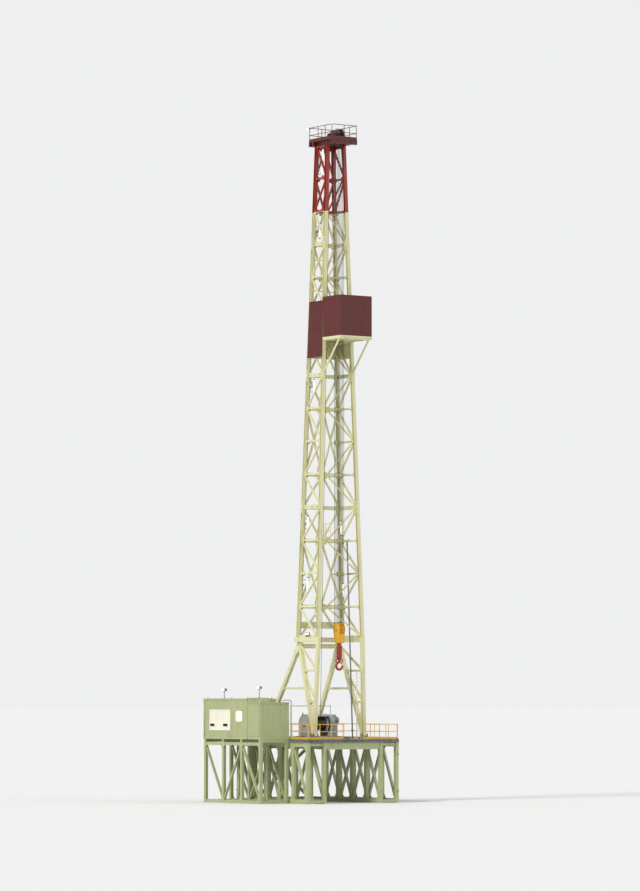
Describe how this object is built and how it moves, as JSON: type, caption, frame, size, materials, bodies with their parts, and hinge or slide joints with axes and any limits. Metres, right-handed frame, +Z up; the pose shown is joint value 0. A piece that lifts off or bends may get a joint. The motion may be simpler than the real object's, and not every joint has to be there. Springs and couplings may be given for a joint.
{
  "type": "oil drilling rig, 1:2 scale model",
  "caption": "Land drilling rig with an open-front lattice mast on a raised floor, racking board, crown, travelling block on its lines, drawworks and two cabins.",
  "frame": {"origin": "on the ground, under the middle of the whole rig's outline", "axes": "+Z up, the mast's open front faces -Y, +X to the right of the floor seen from the front"},
  "size_m": [5.2864, 4.981, 24.5365],
  "materials": {
    "mast_paint": "semi-gloss, weathered",
    "red_paint": "semi-gloss, weathered",
    "yellow_paint": "semi-gloss, weathered",
    "green_paint": "satin",
    "grey_paint": "satin",
    "steel": "greased",
    "lamp_white": "gloss",
    "window_glass": "clear, lit from inside",
    "panel_white": "gloss"
  },
  "bodies": {
    "root": {"left_side_panel_lower": "mast_paint", "left_side_panel_middle": "mast_paint", "left_side_panel_upper": "mast_paint", "left_side_panel_top": "red_paint", "right_side_panel_lower": "mast_paint", "right_side_panel_middle": "mast_paint", "right_side_panel_upper": "mast_paint", "right_side_panel_top": "red_paint", "rear_panel_lower": "mast_paint", "rear_panel_middle": "mast_paint", "rear_panel_upper": "mast_paint", "rear_panel_top": "red_paint", "knee_braces_left": "mast_paint", "knee_braces_right": "mast_paint", "foot_frame_left": "mast_paint", "foot_frame_right": "mast_paint", "rear_leg_left": "mast_paint", "rear_leg_right": "mast_paint", "ring_beam": "mast_paint", "spreader_beam": "mast_paint", "rear_girder": "mast_paint", "leg_shoes": "grey_paint", "racking_board": "mast_paint", "board_windwall": "red_paint", "mast_windwalls": "red_paint", "board_struts": "mast_paint", "crown_frame": "red_paint", "crown_platform": "red_paint", "crown_sheaves": "steel", "crown_lamp": "grey_paint", "drilling_lines": "steel", "fast_line": "steel", "drill_floor": "grey_paint", "rotary_table": "grey_paint", "drawworks": "grey_paint", "floor_handrails": "yellow_paint", "substructure_left": "green_paint", "substructure_right": "green_paint", "substructure_bracing": "green_paint", "standpipe": "grey_paint", "mast_ladder": "mast_paint", "side_platform": "mast_paint", "mast_lamps": "lamp_white", "floor_pipes": "grey_paint", "cabin_walls": "green_paint", "cabin_roof": "green_paint", "cabin_floor": "grey_paint", "cabin_window": "window_glass", "cabin_door": "green_paint", "short_cabin_walls": "green_paint", "short_cabin_roof": "green_paint", "cabin_supports": "green_paint", "sign_board": "panel_white", "cabin_lamps": "grey_paint"},
    "block": {"travelling_block": "yellow_paint", "hook": "red_paint"}
  },
  "joints": [
    {"name": "block_hoist", "type": "slide", "parent": "root", "child": "block", "axis": [0, 0, 1], "range_m": [0, 16], "deforming": ["drilling_lines"]}
  ]
}
